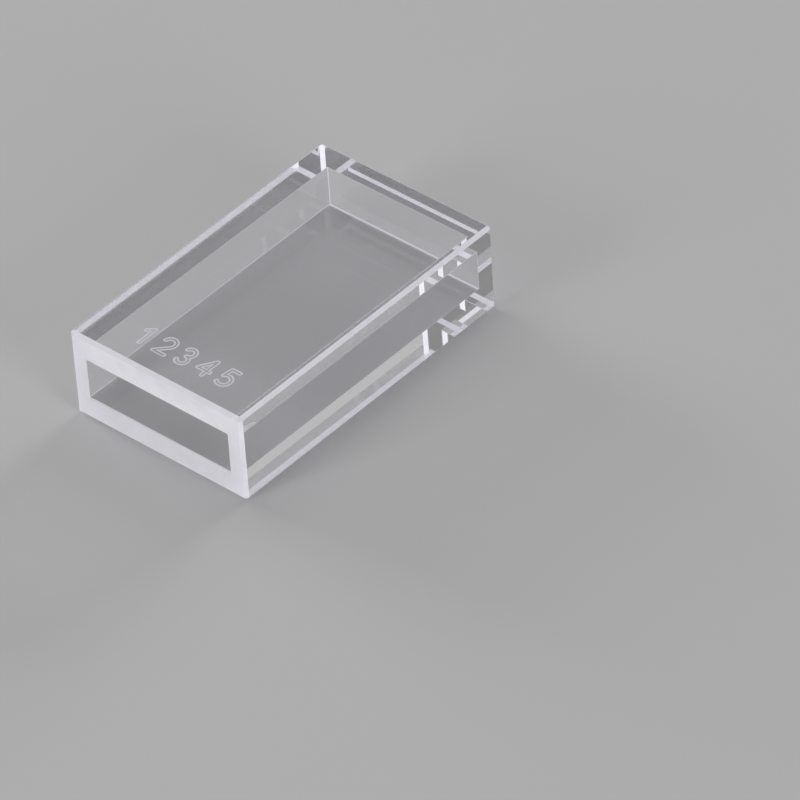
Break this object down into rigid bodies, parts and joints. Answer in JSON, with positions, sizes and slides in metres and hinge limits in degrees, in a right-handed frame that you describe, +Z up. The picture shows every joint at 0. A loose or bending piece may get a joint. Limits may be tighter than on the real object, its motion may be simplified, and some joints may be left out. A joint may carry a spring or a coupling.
{
  "type": "cuvette",
  "caption": "Rectangular clear glass cuvette with a wide flat cavity open at one end, polished windows, a ground mouth and ground chamfers, for holding liquid samples in a light beam.",
  "frame": {"origin": "centre of the wide window that it lies on", "axes": "+Z up through both windows, +Y along the length from the open mouth to the closed end, +X across the width"},
  "size_m": [0.027, 0.045, 0.0125],
  "materials": {
    "optical_glass": "colourless, polished on the windows, sides and closed end, ground matt on the mouth and on the outer chamfers"
  },
  "bodies": {
    "root": {"cuvette_body": "optical_glass"}
  },
  "joints": []
}
